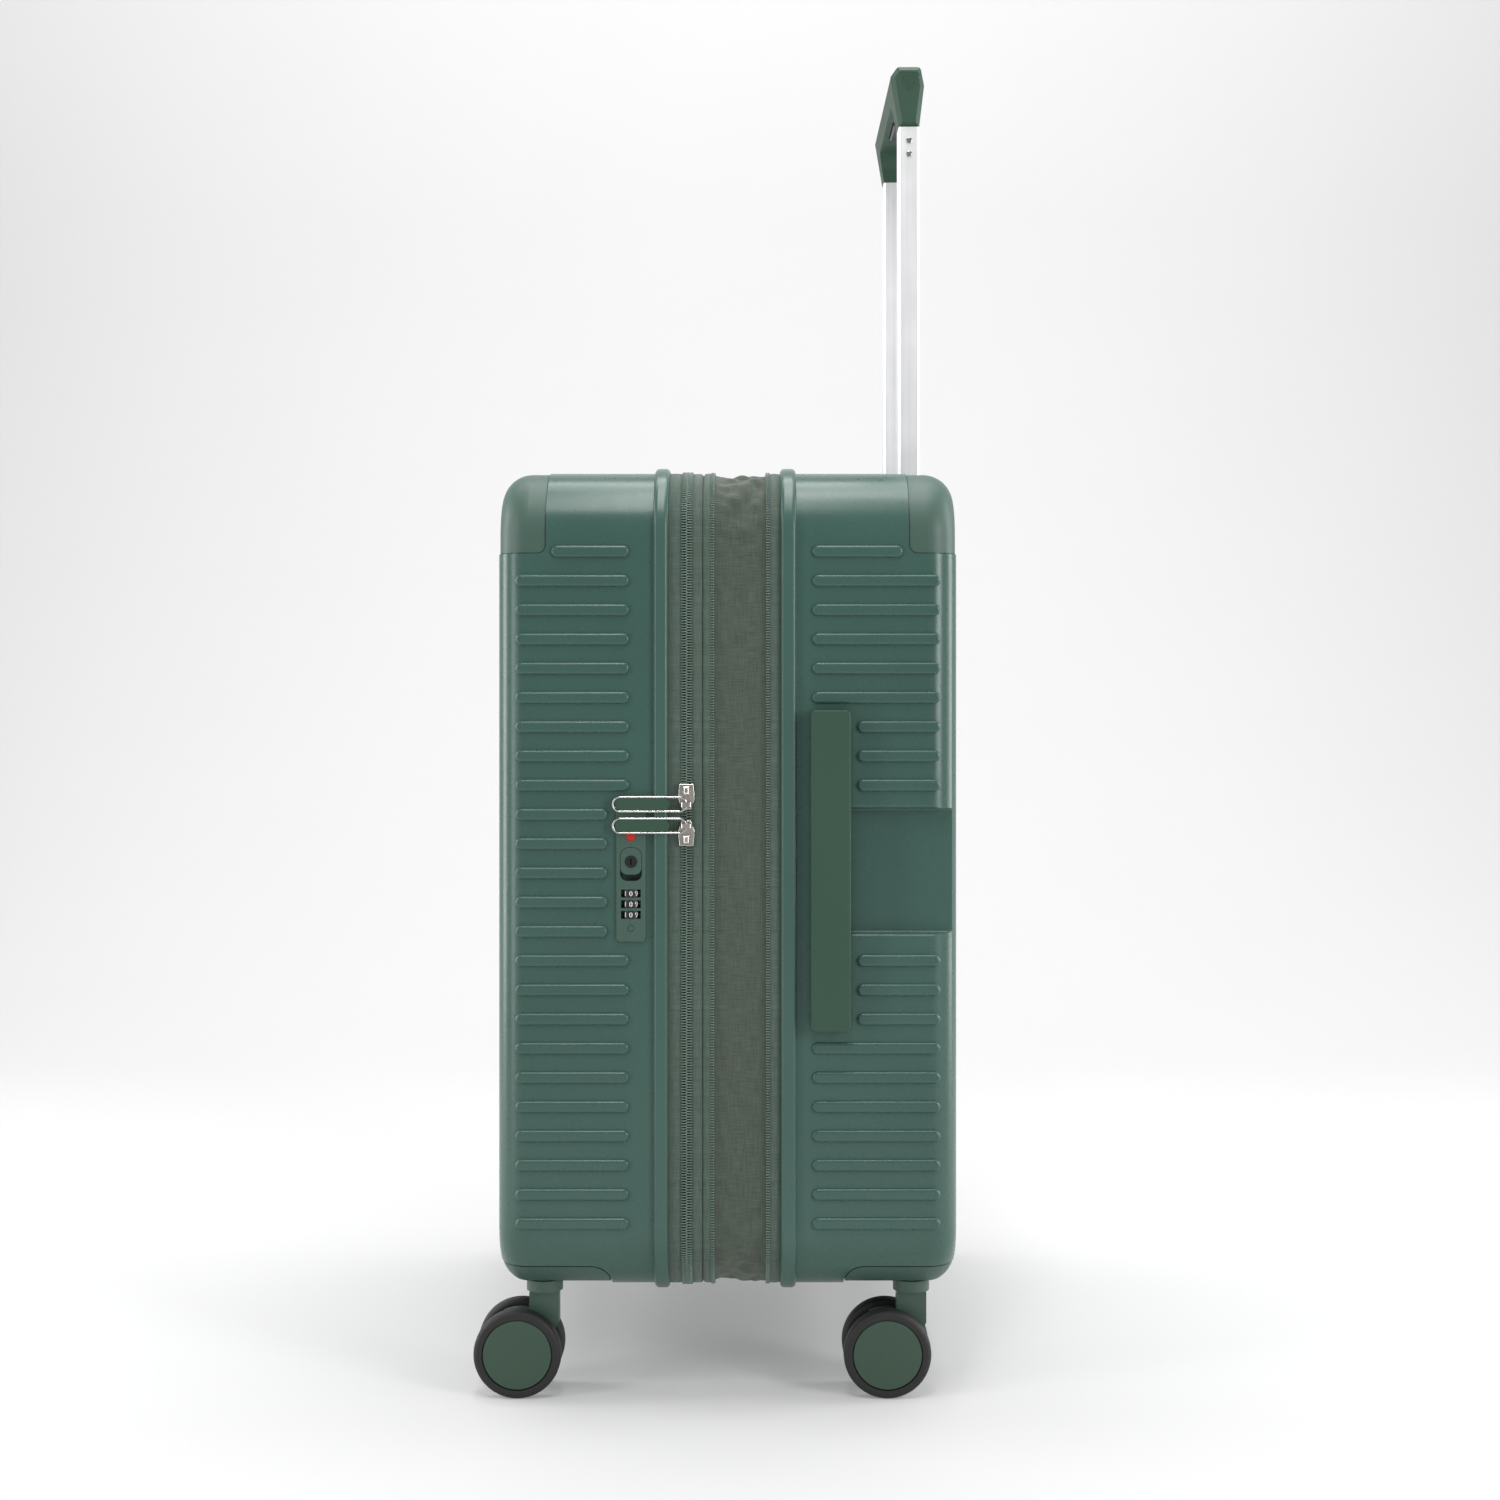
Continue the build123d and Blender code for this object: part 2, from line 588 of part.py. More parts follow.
def key_cylinder():
    barrel = cylinder_x(4.24, (HALF - 5.6, HALF + LOCK_PROUD + 0.2), LOCK_Y, KEY_Z)
    slot = box((HALF - 2, HALF + 5), (LOCK_Y - 0.5, LOCK_Y + 0.5), (KEY_Z - 2.2, KEY_Z + 2.2))
    return barrel - slot


def dial(z):
    """A number wheel, turned by thumb, with a grip notch between each two of its ten places."""
    wheel = cylinder_z(DIAL_R, (z - 2.65, z + 2.65), DIAL_X, LOCK_Y)
    wheel -= cylinder_z(DIAL_SHAFT_R + 0.05, (z - 4, z + 4), DIAL_X, LOCK_Y)
    notch = Pos(DIAL_R + 0.15, 0, 0) * Box(0.8, 0.9, 6)
    notches = [Pos(DIAL_X, LOCK_Y, z) * Rot(0, 0, 36 * i + 18) * notch for i in range(10)]
    return wheel - notches


def reset_button():
    return cylinder_x(2.2, (HALF - 4, HALF + LOCK_PROUD - 0.3), LOCK_Y, RESET_Z)


# ---- zipper sliders and pulls -------------------------------------------------------------------
SLIDERS = {"upper": (429.0, -1), "lower": (403.5, 1)}   # place, and which way its narrow end points
BRIDGE_PLACE = 5.2                          # from a slider's middle towards its narrow end
PULL_X, WIRE_R, PULL_LENGTH, PULL_HEIGHT = 229.7, 0.75, 53.0, 10.0


def zip_slider(z, way):
    """A slider on the teeth: a waisted plate and, near its narrow end, the bridge that its pull hangs on."""
    side = [(-5.0, 9), (5.0, 9), (5.7, 2), (5.7, -2), (3.2, -9), (-3.2, -9), (-5.7, -2), (-5.7, 2)]
    outline = [(y, -way * up) for y, up in side]
    plane = Plane(origin=(HALF + 1.2, ZIP_Y, z), x_dir=(0, 1, 0), z_dir=(1, 0, 0))
    plate = extrude(plane * make_face(Polyline(*outline, close=True)), amount=2.2)
    plate = fillet(plate.faces().sort_by(Axis.X)[-1].edges(), 0.6)
    hump = box((HALF + 3, HALF + 6.4), (ZIP_Y - 2.6, ZIP_Y + 2.6), sorted((z - way * 1.3, z - way * 7.8)))
    hump = fillet(hump.faces().sort_by(Axis.X)[-1].edges(), 2.2)
    middle = z + way * BRIDGE_PLACE
    bridge = box((HALF + 3.2, HALF + 7.8), (ZIP_Y - 4.4, ZIP_Y + 4.4), (middle - 1.6, middle + 1.6))
    bridge = fillet(bridge.faces().sort_by(Axis.X)[-1].edges().filter_by(Axis.Z), 2.6)
    hole = box((HALF + 3.4, HALF + 6.2), (ZIP_Y - 3.0, ZIP_Y + 3.0), (middle - 5, middle + 5))
    return plate + hump + (bridge - hole)


def pull_middle(name):
    """The middle of a pull's loop, whose end runs under its slider's bridge."""
    z, way = SLIDERS[name]
    return ZIP_Y - PULL_LENGTH / 2 + WIRE_R, z + way * BRIDGE_PLACE


def pull_wire(name):
    y, z = pull_middle(name)
    plane = Plane(origin=(PULL_X, y, z), x_dir=(0, 1, 0), z_dir=(1, 0, 0))
    path = plane * SlotOverall(PULL_LENGTH - 2 * WIRE_R, PULL_HEIGHT)
    wire = path.wire()
    start = Plane(origin=wire @ 0.1, z_dir=wire % 0.1)
    return sweep(start * Circle(WIRE_R), path=wire)


def pull_insert(name):
    """The soft tab moulded in the outer two thirds of the loop."""
    y, z = pull_middle(name)
    length, radius = PULL_LENGTH - 2 * WIRE_R - 12, PULL_HEIGHT / 2 - WIRE_R - 0.05
    plane = Plane(origin=(PULL_X - 0.7, y - 6 + WIRE_R + 0.1, z), x_dir=(0, 1, 0), z_dir=(1, 0, 0))
    return extrude(plane * SlotOverall(length - 0.2 - 2 * WIRE_R, 2 * radius), amount=1.4)


# ---- casters ------------------------------------------------------------------------------------
def at_caster(piece, side, face):
    return Pos(side * CASTER_X, caster_y(face), 0) * piece


def caster_fork():
    """The swivel: spigot, collar and neck on the swivel axis, and the arm back to the axle."""
    axle = (-TRAIL, WHEEL_R)
    outline = [(-10.5, 74), (10.5, 74), (10.5, 50), (4.0, 40), (-12, 22), (-25, 28), (-22, 40), (-11, 56)]
    plane = Plane(origin=(-7.0, 0, 0), x_dir=(0, 1, 0), z_dir=(1, 0, 0))
    fork = extrude(plane * make_face(Polyline(*outline, close=True)), amount=14)
    fork = fillet(fork.edges().filter_by(Axis.X), 2.0)
    fork += cylinder_x(8.5, (-9.2, 9.2), *axle)
    fork += cylinder_z(13.0, (73.0, 80.9)) + cylinder_z(4.0, (80.9, HOUSING_TOP - 0.5))
    fender = cylinder_x(27.5, (-7, 7), *axle) - cylinder_x(25.0, (-8, 8), *axle)
    fender &= box((-10, 10), (-TRAIL - 12, 0), (WHEEL_R + 14, 80))
    fork += fender
    return fork - cylinder_x(3.05, (-20, 20), *axle)


def wheel_turned(outline):
    """Turns an (X, radius) outline about the axle, for the wheel on the +X side of the fork."""
    section = Plane.XZ * make_face(Polyline(*outline, close=True))
    return Pos(0, -TRAIL, WHEEL_R) * revolve(section, axis=Axis.X)


TYRE_BORE, CAP_R = 20.0, 24.6


def tyres():
    tread = wheel_turned([(WHEEL_INNER, TYRE_BORE), (WHEEL_INNER, WHEEL_R), (WHEEL_OUTER, WHEEL_R),
                          (WHEEL_OUTER, CAP_R + 0.5), (WHEEL_OUTER - 2.6, CAP_R + 0.5),
                          (WHEEL_OUTER - 2.6, TYRE_BORE)])
    circles = tread.edges().filter_by(GeomType.CIRCLE)
    rims = [rim for rim in circles if abs(rim.radius - WHEEL_R) < 0.01]
    return both_sides(fillet(rims, 3.5))


def wheel_hubs():
    hub = wheel_turned([(WHEEL_INNER, 3.06), (WHEEL_INNER, 17.0), (WHEEL_INNER + 0.6, 17.0),
                        (WHEEL_INNER + 0.6, TYRE_BORE), (WHEEL_OUTER - 2.6, TYRE_BORE),
                        (WHEEL_OUTER - 2.6, CAP_R), (WHEEL_OUTER - 0.9, CAP_R),
                        (WHEEL_OUTER - 0.4, CAP_R - 0.6), (WHEEL_OUTER - 0.4, 0.0),
                        (WHEEL_OUTER - 3.5, 0.0), (WHEEL_OUTER - 3.5, 3.06)])
    return both_sides(hub)


def axle():
    reach = WHEEL_OUTER - 3.6
    return cylinder_x(3.0, (-reach, reach), -TRAIL, WHEEL_R)


# ---- the whole object ---------------------------------------------------------------------------
def all_parts():
    def front_form(inset):
        return front_block(inset, FRONT_TRIM[0])

    def back_form(inset):
        return back_block(inset, BACK_TRIM[1])

    parts = {
        "back_shell": back_shell(),
        "back_trim": back_trim(),
        "back_corner_guards": both_sides(corner_guard(back_form, BACK_FACE)),
        "back_caster_housings": both_sides(caster_housing(back_form, BACK_FACE)),
        "back_lining": back_lining(),
        "handle_bezel": handle_bezel(),
        "outer_tubes": outer_tubes(),
        "expansion_zip_rear_half": expansion_zip_rear_half(),
        "expansion_gusset": expansion_gusset(),
        "handle_sockets": handle_sockets(),
        "packing_straps": packing_straps(),
        "strap_buckles": strap_buckles(),
        "main_zip_rear_half": main_zip_rear_half(),
        "zipper_band": zipper_band(),
        "hinge_strip": hinge_strip(),
        "front_shell": front_shell(),
        "front_trim": front_trim(),
        "front_corner_guards": both_sides(corner_guard(front_form, FRONT_FACE)),
        "front_caster_housings": both_sides(caster_housing(front_form, FRONT_FACE)),
        "front_lining": front_lining(),
        "main_zip_front_half": main_zip_front_half(),
        "lock_plate": lock_plate(),
        "lock_indicator": lock_indicator(),
        "lock_button": lock_button(),
        "key_cylinder": key_cylinder(),
        "reset_button": reset_button(),
        "inner_tubes": inner_tubes(),
        "handle_grip": grip(),
        "grip_plugs": grip_plugs(),
        "grip_rivets": grip_rivets(),
        "release_button": release_button(),
        "side_handle": side_handle(),
        "top_handle": top_handle(),
    }
    screws = []
    for face in (FRONT_FACE, BACK_FACE):
        for x, y in housing_screw_places(face):
            screws += both_sides(housing_screw(x, y))
    parts["front_housing_screws"], parts["back_housing_screws"] = screws[:4], screws[4:]
    for name, z in dial_places().items():
        parts[name] = dial(z)
    for name, (z, way) in SLIDERS.items():
        parts[f"zip_slider_{name}"] = zip_slider(z, way)
        parts[f"pull_wire_{name}"] = pull_wire(name)
        parts[f"pull_insert_{name}"] = pull_insert(name)
    caster = {"fork": caster_fork(), "axle": axle(), "tyres": tyres(), "hubs": wheel_hubs()}
    for place, side, face in (("front_left", -1, FRONT_FACE), ("front_right", 1, FRONT_FACE),
                              ("rear_left", -1, BACK_FACE), ("rear_right", 1, BACK_FACE)):
        for name, piece in caster.items():
            pieces = piece if isinstance(piece, list) else [piece]
            parts[f"{name}_{place}"] = [at_caster(p, side, face) for p in pieces]
    return parts


def write(name, piece):
    """Writes one node: a solid, or a group of separate solids."""
    pieces = piece if isinstance(piece, list) else [piece]
    solids = [solid for p in pieces for solid in p.solids()]
    shape = solids[0] if len(solids) == 1 else Compound(children=solids)
    export_step(shape, f"parts/{name}.step")


if __name__ == "__main__":
    os.makedirs("parts", exist_ok=True)
    for node, made in all_parts().items():
        write(node, made)
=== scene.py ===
import bpy
import json
import math
import random
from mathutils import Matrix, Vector, noise


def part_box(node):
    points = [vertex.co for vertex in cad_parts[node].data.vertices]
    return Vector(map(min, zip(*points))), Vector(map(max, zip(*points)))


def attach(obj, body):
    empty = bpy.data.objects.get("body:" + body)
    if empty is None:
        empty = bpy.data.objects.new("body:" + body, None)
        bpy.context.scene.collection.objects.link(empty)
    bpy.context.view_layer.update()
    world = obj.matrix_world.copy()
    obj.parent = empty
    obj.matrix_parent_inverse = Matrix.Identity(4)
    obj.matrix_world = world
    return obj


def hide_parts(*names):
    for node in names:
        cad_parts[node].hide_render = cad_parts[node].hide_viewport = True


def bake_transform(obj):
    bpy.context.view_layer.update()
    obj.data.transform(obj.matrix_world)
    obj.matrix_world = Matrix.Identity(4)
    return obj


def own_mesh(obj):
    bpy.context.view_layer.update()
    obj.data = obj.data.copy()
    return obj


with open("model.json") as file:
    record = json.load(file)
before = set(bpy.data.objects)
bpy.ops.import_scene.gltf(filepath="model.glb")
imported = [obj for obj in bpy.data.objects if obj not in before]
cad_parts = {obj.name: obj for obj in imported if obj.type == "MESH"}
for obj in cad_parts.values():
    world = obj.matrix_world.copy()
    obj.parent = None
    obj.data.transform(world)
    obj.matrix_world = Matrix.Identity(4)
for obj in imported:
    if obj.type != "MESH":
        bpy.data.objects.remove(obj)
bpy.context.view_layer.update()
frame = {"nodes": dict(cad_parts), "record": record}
scene = bpy.context.scene
MM = 0.001


# ---- camera and stage ---------------------------------------------------------------------------
def add_camera():
    data = bpy.data.cameras.new("camera")
    data.lens, data.sensor_width = 55.3, 36.0
    data.shift_x, data.shift_y = -0.0013, -0.0467
    camera = bpy.data.objects.new("camera", data)
    camera.location = (1.845, 0.026, 0.511)
    camera.rotation_euler = (math.pi / 2, 0, math.pi / 2)
    scene.collection.objects.link(camera)
    scene.camera = camera


def add_light(name, place, aim, size, power):
    data = bpy.data.lights.new(name, "AREA")
    data.shape, data.size, data.size_y = "RECTANGLE", size[0], size[1]
    data.energy = power
    light = bpy.data.objects.new(name, data)
    light.location = place
    light.rotation_euler = (Vector(aim) - Vector(place)).to_track_quat("-Z", "Y").to_euler()
    scene.collection.objects.link(light)


def add_world(strength):
    world = bpy.data.worlds.new("studio")
    world.use_nodes = True
    background = world.node_tree.nodes["Background"]
    background.inputs["Color"].default_value = (1, 1, 1, 1)
    background.inputs["Strength"].default_value = strength
    scene.world = world
    scene.view_settings.view_transform = "Standard"


# ---- meshes -------------------------------------------------------------------------------------
def mesh_object(name, verts, faces, smooth=True):
    mesh = bpy.data.meshes.new(name)
    mesh.from_pydata([tuple(v) for v in verts], [], faces)
    mesh.validate()
    if smooth:
        mesh.shade_smooth()
    obj = bpy.data.objects.new(name, mesh)
    scene.collection.objects.link(obj)
    return obj


# ---- materials ----------------------------------------------------------------------------------
class Nodes:
    """Adds nodes to a material, with inputs given as values or as other nodes' outputs."""

    def __init__(self, name):
        self.material = bpy.data.materials.new(name)
        self.material.use_nodes = True
        self.tree = self.material.node_tree
        self.surface = self.tree.nodes["Principled BSDF"]

    def add(self, kind, inputs=None, out=0, **settings):
        node = self.tree.nodes.new("ShaderNode" + kind)
        for key, value in settings.items():
            setattr(node, key, value)
        for key, value in (inputs or {}).items():
            self.put(node.inputs[key], value)
        return node.outputs[out]

    def put(self, socket, value):
        if isinstance(value, bpy.types.NodeSocket):
            self.tree.links.new(value, socket)
        else:
            socket.default_value = value

    def set(self, **inputs):
        for key, value in inputs.items():
            self.put(self.surface.inputs[key.replace("_", " ")], value)

    def math(self, operation, *values):
        return self.add("Math", dict(enumerate(values)), operation=operation)

    def noise(self, place, scale, detail):
        inputs = {"Vector": place, "Scale": scale, "Detail": detail, "Roughness": 0.5}
        return self.add("TexNoise", inputs)

    def stretched_noise(self, place, scales, detail):
        mapped = self.add("Mapping", {"Vector": place, "Scale": scales})
        return self.noise(mapped, 1, detail)

    def between(self, value, low, high, start=0.3, end=0.7):
        return self.add("MapRange", {0: value, 1: start, 2: end, 3: low, 4: high})

    def shades(self, value, one, two):
        return self.add("Mix", {0: value, 6: (*one, 1), 7: (*two, 1)}, out=2, data_type="RGBA")

    def bump(self, height, distance, strength):
        return self.add("Bump", {"Height": height, "Distance": distance, "Strength": strength})


def scaled(shade, k):
    return tuple(min(1, c * k) for c in shade)


def plastic(name, shade, rough, grain, relief, tint, scuff=0.05):
    """Moulded plastic with a fine grain, faint colour drift and a few fine scuffs.

    grain is the noise's scale and relief its height in millimetres; tint is the drift in colour.
    """
    n = Nodes(name)
    place = n.add("TexCoord", out=3)
    broad = n.noise(place, 9, 4)
    cloud = n.noise(place, 130, 3)
    fine = n.noise(place, grain, 2)
    lines = n.stretched_noise(place, (40, 260, 900), 2)
    marks = n.math("MULTIPLY", n.between(lines, 0, 1, 0.66, 0.72), n.between(cloud, 0, 1, 0.5, 0.62))
    body = n.shades(n.between(broad, 0, 1), scaled(shade, 1 - tint), scaled(shade, 1 + tint))
    faded = (*scaled(shade, 2.6), 1)
    worn = n.add("Mix", {0: n.math("MULTIPLY", marks, 0.05), 6: body, 7: faded}, out=2, data_type="RGBA")
    base = n.math("ADD", n.between(cloud, rough * 0.96, rough * 1.04), n.math("MULTIPLY", marks, scuff))
    height = n.math("ADD", fine, n.math("MULTIPLY", cloud, 0.15))
    n.set(Base_Color=worn, Roughness=base, Normal=n.bump(height, relief * MM, 0.7))
    n.surface.inputs["Specular IOR Level"].default_value = 0.42
    return n.material


def metal(name, shade, rough, streak, metallic_share=1.0):
    """Drawn or brushed metal, with its lines along the axis with the small scale."""
    relief = 0.008
    n = Nodes(name)
    place = n.add("TexCoord", out=3)
    lines = n.stretched_noise(place, streak, 4)
    cloud = n.noise(place, 60, 4)
    body = n.shades(n.between(lines, 0, 1), scaled(shade, 0.93), scaled(shade, 1.04))
    base = n.math("ADD", n.between(lines, rough - 0.06, rough + 0.06), n.between(cloud, -0.03, 0.05))
    n.set(Base_Color=body, Metallic=metallic_share, Roughness=base, Normal=n.bump(lines, relief * MM, 0.5))
    return n.material


def woven(name, shade, pitch, relief, on_uv=True, mottled=0.3, rib=1.0):
    """Plain weave: two sets of threads that cross, each with its own drift in colour and thickness.

    pitch and relief are in millimetres; rib is the weft's count as a share of the warp's.
    """
    rough = 0.85
    n = Nodes(name)
    coords = n.add("TexCoord", out=2 if on_uv else 3)
    u, v, height_z = n.add("SeparateXYZ", {0: coords}).node.outputs
    if not on_uv:
        u, v = n.math("ADD", u, v), height_z
    wobble = n.math("MULTIPLY", n.noise(coords, 400, 2), 0.5 * pitch * MM)
    turn = 2 * math.pi / (pitch * MM)
    warp = n.math("SINE", n.math("MULTIPLY", n.math("ADD", u, wobble), turn))
    weft = n.math("SINE", n.math("MULTIPLY", n.math("ADD", v, wobble), turn * rib))
    over = n.math("MULTIPLY", warp, weft)
    fuzz = n.math("MULTIPLY", n.noise(coords, 3000, 2), 0.5)
    height = n.math("ADD", n.math("MULTIPLY", over, 0.5), fuzz)
    threads = n.stretched_noise(coords, (90, 1600, 90), 2)
    slubs = n.stretched_noise(coords, (900, 70, 900), 3)
    level = n.math("ADD", n.between(over, 0.1, 0.4, -1, 1),
                   n.math("ADD", n.between(threads, -0.3, 0.4), n.between(slubs, -0.1, 0.35)))
    body = n.shades(level, scaled(shade, 1 - mottled), scaled(shade, 1 + mottled))
    n.set(Base_Color=body, Roughness=n.between(threads, rough - 0.06, rough + 0.06),
          Normal=n.bump(height, relief * MM, 0.9))
    n.surface.inputs["Sheen Weight"].default_value = 0.25
    n.surface.inputs["Sheen Roughness"].default_value = 0.5
    n.surface.inputs["Specular IOR Level"].default_value = 0.2
    return n.material


SHELL = (0.041, 0.096, 0.078)
TRIM = (0.046, 0.102, 0.084)
GUARD = (0.050, 0.098, 0.078)
SOFT = (0.025, 0.066, 0.042)
CLOTH = (0.072, 0.092, 0.071)
TAPE = (0.076, 0.112, 0.090)

looks = {
    "shell": plastic("shell_plastic", SHELL, 0.28, 1500, 0.004, 0.05, 0.02),
    "trim": plastic("trim_plastic", TRIM, 0.3, 2200, 0.004, 0.05, 0.02),
    "guard": plastic("guard_plastic", GUARD, 0.46, 1300, 0.02, 0.06),
    "soft_touch": plastic("soft_touch", SOFT, 0.56, 2600, 0.02, 0.05, 0.03),
    "black_plastic": plastic("black_plastic", (0.016, 0.017, 0.017), 0.45, 1500, 0.03, 0.12),
    "lock_case": plastic("lock_plastic", (0.05, 0.098, 0.078), 0.42, 2200, 0.02, 0.05),
    "red": plastic("red_enamel", (0.5, 0.025, 0.02), 0.3, 2600, 0.006, 0.05),
    "hub": plastic("hub_plastic", (0.034, 0.07, 0.046), 0.4, 2200, 0.014, 0.06),
    "tyre": plastic("tyre_rubber", (0.014, 0.0142, 0.0142), 0.6, 900, 0.05, 0.2, 0.1),
    "fork": plastic("fork_plastic", (0.05, 0.092, 0.072), 0.45, 1500, 0.03, 0.07),
    "metal": metal("satin_nickel", (0.62, 0.59, 0.54), 0.27, (300, 900, 60)),
    "steel": metal("steel_wire", (0.6, 0.6, 0.58), 0.22, (500, 60, 500)),
    # the tube is only half metallic: its near-white base colour, lit diffusely, is painted reflection of
    # the white studio
    "tube": metal("anodised_tube_painted_reflection", (0.9, 0.9, 0.915), 0.38, (1800, 1800, 6), 0.5),
    "cloth": woven("gusset_cloth", CLOTH, 0.62, 0.1),
    "zipper": woven("zipper_tape", TAPE, 0.8, 0.12, rib=0.7),
    "lining": woven("lining_cloth", (0.17, 0.19, 0.175), 0.7, 0.06, False, mottled=0.1),
    "webbing": woven("elastic_webbing", (0.03, 0.045, 0.04), 1.1, 0.2, False, rib=0.6),
    # teeth: nylon a shade lighter than the tape, with the base colour lightened further as painted
    # highlight
    "coil": plastic("nylon_teeth_painted_highlight", (0.125, 0.18, 0.155), 0.22, 2600, 0.003, 0.1),
    "thread": plastic("sewing_thread", (0.1, 0.14, 0.118), 0.7, 3000, 0.05, 0.15),
    "core": plastic("lock_core", (0.012, 0.016, 0.015), 0.3, 2600, 0.01, 0.15),
    "ink": plastic("white_ink", (0.78, 0.78, 0.76), 0.5, 2600, 0.004, 0.03),
}

# nodes whose look isn't the one of their material slot
LOOK_OF = {"key_cylinder": "core", "reset_button": "lock_case", "release_button": "core"}
slot_of = {part["node"]: part["material_slot"] for part in frame["record"]["subparts"]}
for node, obj in frame["nodes"].items():
    slot = "fork" if node.startswith("fork_") else LOOK_OF.get(node, slot_of[node])
    obj.data.materials.clear()
    obj.data.materials.append(looks[slot])


def finish_piece(obj, look, body, replaces=()):
    obj.data.materials.append(looks[look])
    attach(obj, body)
    if replaces:
        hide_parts(*replaces)


# ---- the case's outline -------------------------------------------------------------------------
coil_low, coil_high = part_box("main_zip_front_half")
HALF = coil_high[0] - 1 * MM
TOP, BOTTOM = coil_high[2] - 1 * MM, coil_low[2] + 1 * MM
MID_Z = (TOP + BOTTOM) / 2
CORNER = 48 * MM
HALF_Z = (TOP - BOTTOM) / 2
RUN_X, RUN_Z = HALF - CORNER, HALF_Z - CORNER
ARC = CORNER * math.pi / 2
LENGTH = 4 * (RUN_X + RUN_Z + ARC)
ZIP_Y = coil_high[1] + 0.15 * MM
hinge_low, hinge_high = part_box("hinge_strip")

# The outline's stretches, from the middle of the -X side and upwards. A straight one is its length,
# start and direction; a corner is its length, centre and starting angle.
STRAIGHT, ROUND = "straight", "round"
STRETCHES = ((STRAIGHT, RUN_Z, (-HALF, 0), (0, 1)), (ROUND, ARC, (-RUN_X, RUN_Z), 180),
             (STRAIGHT, 2 * RUN_X, (-RUN_X, HALF_Z), (1, 0)), (ROUND, ARC, (RUN_X, RUN_Z), 90),
             (STRAIGHT, 2 * RUN_Z, (HALF, RUN_Z), (0, -1)), (ROUND, ARC, (RUN_X, -RUN_Z), 0),
             (STRAIGHT, 2 * RUN_X, (RUN_X, -HALF_Z), (-1, 0)), (ROUND, ARC, (-RUN_X, -RUN_Z), -90),
             (STRAIGHT, RUN_Z, (-HALF, -RUN_Z), (0, 1)))


def outline(s, inset=0.0):
    """Point (x, z) and outward normal at length s along the case's outline."""
    s = s % LENGTH
    for kind, length, place, way in STRETCHES[:-1]:
        if s <= length:
            break
        s -= length
    else:
        kind, length, place, way = STRETCHES[-1]
    if kind == ROUND:
        angle = math.radians(way) - s / CORNER
        nx, nz = math.cos(angle), math.sin(angle)
        x, z = place[0] + CORNER * nx, place[1] + CORNER * nz
    else:
        x, z = place[0] + way[0] * s, place[1] + way[1] * s
        nx, nz = -way[1], way[0]
    return x - inset * nx, MID_Z + z - inset * nz, nx, nz


# ranges of s: all the way round, and all but the fabric hinge
ALL_ROUND = (0.0, LENGTH)
PAST_HINGE = (hinge_high[2] - 0.2 * MM - MID_Z, LENGTH - (MID_Z - hinge_low[2] - 0.2 * MM))


def band(name, profile, span, step, thick, wave=None):
    """A strip of cloth that follows the outline.

    profile is a list of (y, inset) in metres. wave gives a point's shift in y and in inset.
    """
    count = max(8, round((span[1] - span[0]) / step))
    closed = span == ALL_ROUND
    verts, faces, uvs = [], [], []
    lengths = [0.0]
    for (y0, i0), (y1, i1) in zip(profile, profile[1:]):
        lengths.append(lengths[-1] + math.hypot(y1 - y0, i1 - i0))
    rows = count if closed else count + 1
    for i in range(rows):
        s = span[0] + (span[1] - span[0]) * i / count
        for (y, inset), v in zip(profile, lengths):
            dy, di = wave(s, v / lengths[-1]) if wave else (0, 0)
            x, z, _, _ = outline(s, inset + di)
            verts.append((x, y + dy, z))
    wide = len(profile)
    for i in range(count):
        for j in range(wide - 1):
            a, b = i * wide + j, ((i + 1) % rows) * wide + j
            faces.append((a, a + 1, b + 1, b))
            s0, s1 = (span[0] + (span[1] - span[0]) * k / count for k in (i, i + 1))
            v0, v1 = lengths[j], lengths[j + 1]
            uvs += [(v0, s0), (v1, s0), (v1, s1), (v0, s1)]
    obj = mesh_object(name, verts, faces)
    layer = obj.data.uv_layers.new(name="UVMap")
    for corner, uv in zip(layer.data, uvs):
        corner.uv = uv
    if thick:
        solid = obj.modifiers.new("thickness", "SOLIDIFY")
        solid.thickness, solid.offset = thick, -1
    return obj


def bake(obj):
    """Replaces an object's mesh by what its modifiers make of it."""
    bpy.context.view_layer.update()
    made = bpy.data.meshes.new_from_object(obj.evaluated_get(bpy.context.evaluated_depsgraph_get()))
    obj.modifiers.clear()
    obj.data = made
    return obj


TEETH_PITCH = 1.9           # millimetres


def teeth(name, y_root, y_tip, inset, span, phase, size):
    """One row of moulded zipper teeth, as small rounded bars across the tape."""
    verts, faces = [], []
    count = int((span[1] - span[0]) / (TEETH_PITCH * MM)) - 1
    # places along a tooth as a share of its length, each with its girth
    stations = ((0.0, 0.55), (0.16, 0.95), (0.62, 0.9), (0.86, 1.12), (1.0, 0.6))
    rim = [(math.cos(a), math.sin(a)) for a in (math.pi / 3 * k for k in range(6))]
    for i in range(count):
        s = span[0] + (i + 0.75 + phase) * TEETH_PITCH * MM
        x, z, nx, nz = outline(s, inset * MM)
        start = len(verts)
        for share, k in stations:
            y = (y_root + (y_tip - y_root) * share) * MM
            for c, d in rim:
                along, out = c * k * size[0] * MM, d * k * size[1] * MM
                verts.append((x + nz * along + nx * out, y, z - nx * along + nz * out))
        for j in range(len(stations) - 1):
            for k in range(6):
                a, b = start + j * 6 + k, start + j * 6 + (k + 1) % 6
                faces.append((a, b, b + 6, a + 6))
        faces.append(tuple(start + k for k in range(5, -1, -1)))
        faces.append(tuple(start + (len(stations) - 1) * 6 + k for k in range(6)))
    return mesh_object(name, verts, faces)


